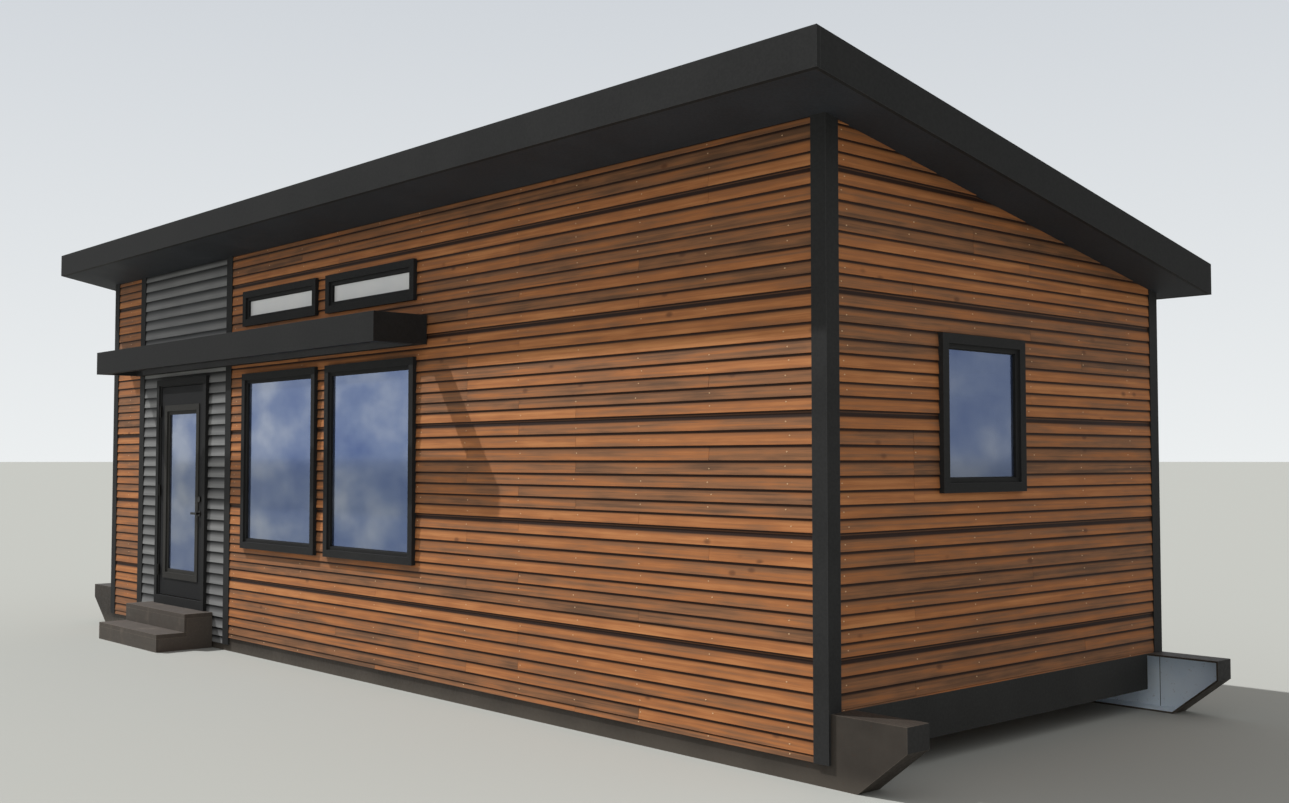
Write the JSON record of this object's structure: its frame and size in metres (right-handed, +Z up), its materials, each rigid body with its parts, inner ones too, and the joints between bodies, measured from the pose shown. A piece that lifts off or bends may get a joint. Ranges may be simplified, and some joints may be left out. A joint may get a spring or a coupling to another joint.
{
  "type": "cabin on skids",
  "caption": "Long cabin on two steel skids with one roof slope, wooden lap siding, dark trim, tall windows, an open awning frame, a glazed hinged door and steps.",
  "frame": {"origin": "on the ground under the middle of the whole cabin, with its steps, skids and roof", "axes": "+X to the right along the long front wall with the door, +Y from the front wall to the rear wall, +Z up"},
  "size_m": [10.5, 4.142, 3.7879],
  "materials": {
    "skid_steel": "matt brown-grey paint on steel plate",
    "dark_paint": "boards painted charcoal, satin",
    "door_paint": "door painted charcoal, satin",
    "floor_timber": "bare softwood and floor board",
    "wall_board": "pale lined wall and ceiling board",
    "wood_siding": "oiled softwood lap boards, orange-brown",
    "grey_siding": "lap boards painted grey",
    "roof_metal": "dark sheet metal with raised seams",
    "window_glass": "clear pane with a blue sky tone",
    "pale_glass": "pale grey pane",
    "hardware": "dark bronzed steel",
    "step_tread": "worn brown-grey tread boards",
    "step_board": "dark brown painted boards"
  },
  "bodies": {
    "house": {"skid_front": "skid_steel", "skid_rear": "skid_steel", "rim_beams": "dark_paint", "floor_joists": "floor_timber", "floor_deck": "floor_timber", "front_wall_left": "wall_board", "front_wall_over_door": "wall_board", "front_wall_right": "wall_board", "rear_wall": "wall_board", "end_wall_left": "wall_board", "end_wall_right": "wall_board", "front_siding_left": "wood_siding", "door_siding": "grey_siding", "front_siding_right": "wood_siding", "rear_siding": "wood_siding", "end_siding_left": "wood_siding", "end_siding_right": "wood_siding", "corner_trims_front": "dark_paint", "corner_trims_rear": "dark_paint", "battens": "dark_paint", "ceiling": "wall_board", "roof_soffit": "dark_paint", "roof_panel": "wall_board", "roof_sheet": "roof_metal", "fascia_front": "dark_paint", "fascia_rear": "dark_paint", "rakes": "dark_paint", "awning_frame": "dark_paint", "tall_window_frames": "dark_paint", "tall_window_glass": "window_glass", "transom_frames": "dark_paint", "transom_glass": "pale_glass", "right_window_frame": "dark_paint", "right_window_glass": "window_glass", "left_window_frame": "dark_paint", "left_window_glass": "window_glass", "rear_window_frame": "dark_paint", "rear_window_glass": "window_glass", "door_casing": "dark_paint", "door_frame": "dark_paint", "door_sill": "dark_paint", "hinge_jamb_leaves": "hardware", "step_treads": "step_tread", "step_risers": "step_board", "step_cheeks": "step_board"},
    "front_door": {"door_slab": "door_paint", "door_lite_frame": "door_paint", "door_glass": "window_glass", "door_handle": "hardware", "hinge_door_leaves": "hardware"}
  },
  "joints": [
    {"name": "front_door_swing", "type": "hinge", "parent": "house", "child": "front_door", "pos_m": [-3.5465, -1.582, 1.3918], "axis": [0, 0, -1], "range_deg": [0, 110]}
  ]
}
